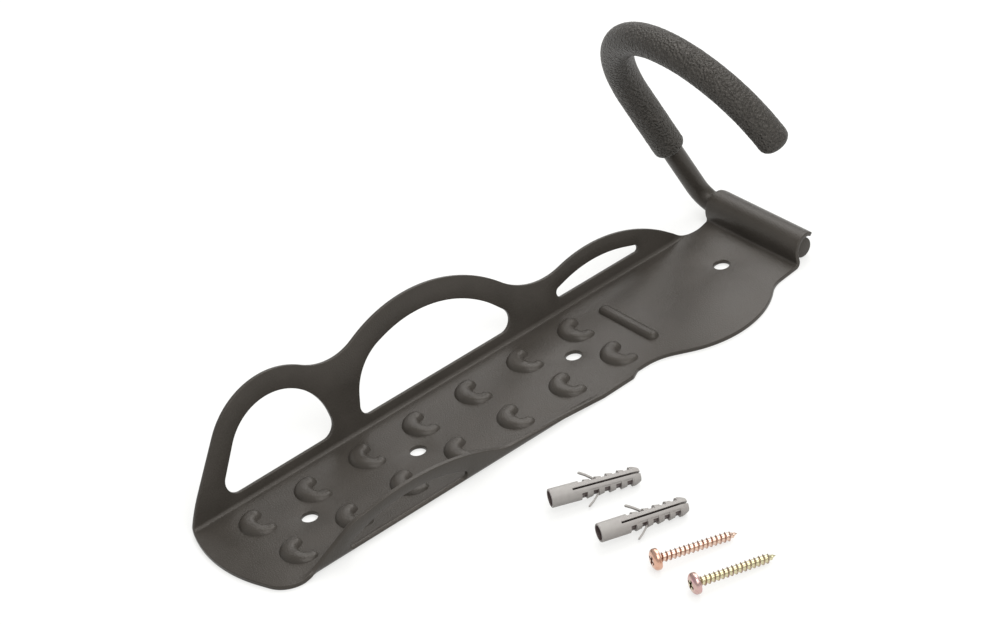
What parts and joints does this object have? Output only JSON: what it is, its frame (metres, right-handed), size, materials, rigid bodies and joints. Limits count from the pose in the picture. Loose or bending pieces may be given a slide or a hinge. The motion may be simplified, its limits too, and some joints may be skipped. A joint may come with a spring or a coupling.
{
  "type": "bike wall bracket",
  "caption": "Pressed steel wall plate with folded wheel guides, crescent dimples and a welded rod hook with a foam sleeve, with its loose wall plugs and screws.",
  "frame": {"origin": "on the plate's rear face, on its centre line, midway between the first and the last screw hole", "axes": "+Y along the plate, up the wall, towards the hook; +Z away from the wall; +X to the right, seen from the front with the hook at the top"},
  "size_m": [0.2356, 0.3189, 0.1339],
  "materials": {
    "black_coat": "satin powder coat",
    "foam": "fine wrinkled matte foam",
    "grey_nylon": "satin moulded nylon",
    "yellow_zinc": "yellow passivated zinc"
  },
  "bodies": {
    "root": {"wall_plate": "black_coat", "hook_rod": "black_coat", "foam_grip": "foam", "weld_left": "black_coat", "weld_right": "black_coat", "wall_plug_1": "grey_nylon", "wall_plug_2": "grey_nylon", "wood_screw_1": "yellow_zinc", "wood_screw_2": "yellow_zinc"}
  },
  "joints": []
}
